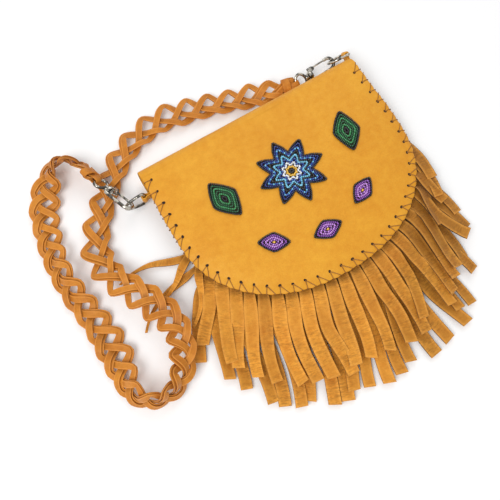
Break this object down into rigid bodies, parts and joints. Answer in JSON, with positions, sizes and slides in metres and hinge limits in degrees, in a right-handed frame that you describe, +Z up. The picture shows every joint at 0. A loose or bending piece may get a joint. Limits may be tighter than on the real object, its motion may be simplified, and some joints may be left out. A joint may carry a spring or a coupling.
{
  "type": "fringed shoulder bag",
  "caption": "Small leather shoulder bag with a rounded flap, beadwork, two layers of long fringe and a braided strap on swivel clasps, lying on its back.",
  "frame": {"origin": "middle of the flat back of the bag, on the surface it lies on", "axes": "+X along the fold to the bag's right as the camera sees it, +Y from the rounded bottom to the fold, +Z up out of the flap"},
  "size_m": [0.3457, 0.3263, 0.0267],
  "materials": {
    "smooth_leather": "smooth golden tan",
    "fringe_leather": "soft, lightly wrinkled",
    "braid_leather": "soft, braided",
    "blue_beads": "glossy opaque",
    "violet_beads": "glossy opaque",
    "green_beads": "glossy opaque",
    "nickel": "polished pale nickel"
  },
  "bodies": {
    "bag": {"back_panel": "smooth_leather", "front_panel": "smooth_leather", "fringe_back": "fringe_leather", "fringe_front": "fringe_leather", "snap_socket": "nickel", "snap_backplate": "nickel", "ring_tab_left": "smooth_leather", "ring_tab_right": "smooth_leather", "swivel_eye_left": "nickel", "swivel_eye_right": "nickel", "strap": "braid_leather"},
    "flap_body": {"flap": "smooth_leather", "flap_lining": "smooth_leather", "snap_stud": "nickel", "bead_star": "blue_beads", "bead_diamond_left": "violet_beads", "bead_diamond_centre": "violet_beads", "bead_diamond_right": "violet_beads", "bead_spray_left": "green_beads", "bead_spray_right": "green_beads"},
    "ring_left": {"d_ring_left": "nickel"},
    "ring_right": {"d_ring_right": "nickel"},
    "clasp_left": {"hook_left": "nickel"},
    "clasp_right": {"hook_right": "nickel"},
    "lever_left": {"gate_left": "nickel"},
    "lever_right": {"gate_right": "nickel"}
  },
  "joints": [
    {"name": "flap_hinge", "type": "hinge", "parent": "bag", "child": "flap_body", "pos_m": [0, 0.077, 0.0224], "axis": [-1, 0, 0], "range_deg": [0, 150]},
    {"name": "ring_left_swing", "type": "hinge", "parent": "bag", "child": "ring_left", "pos_m": [-0.1198, 0.064, 0.012], "axis": [0, 0, 1], "range_deg": [-5, 1]},
    {"name": "ring_right_swing", "type": "hinge", "parent": "bag", "child": "ring_right", "pos_m": [0.11635, 0.0945, 0.012], "axis": [0, -0.5708, 0.8211], "range_deg": [-4, 4]},
    {"name": "clasp_left_swivel", "type": "hinge", "parent": "bag", "child": "clasp_left", "pos_m": [-0.14378, 0.08552, 0.01675], "axis": [0.33, -0.944, 0], "range_deg": [-6, 6]},
    {"name": "clasp_right_swivel", "type": "hinge", "parent": "bag", "child": "clasp_right", "pos_m": [0.07478, 0.09427, 0.00881], "axis": [0.9901, 0.01, 0.14], "range_deg": [-6, 6]},
    {"name": "lever_left_spring", "type": "hinge", "parent": "clasp_left", "child": "lever_left", "pos_m": [-0.1383, 0.08151, 0.01296], "axis": [-0.6624, -0.2316, -0.7124], "range_deg": [0, 25], "stiffness_Nm_per_rad": 0.02},
    {"name": "lever_right_spring", "type": "hinge", "parent": "clasp_right", "child": "lever_right", "pos_m": [0.07984, 0.09874, 0.01266], "axis": [0.1088, 0.5753, -0.8107], "range_deg": [0, 25], "stiffness_Nm_per_rad": 0.02}
  ]
}
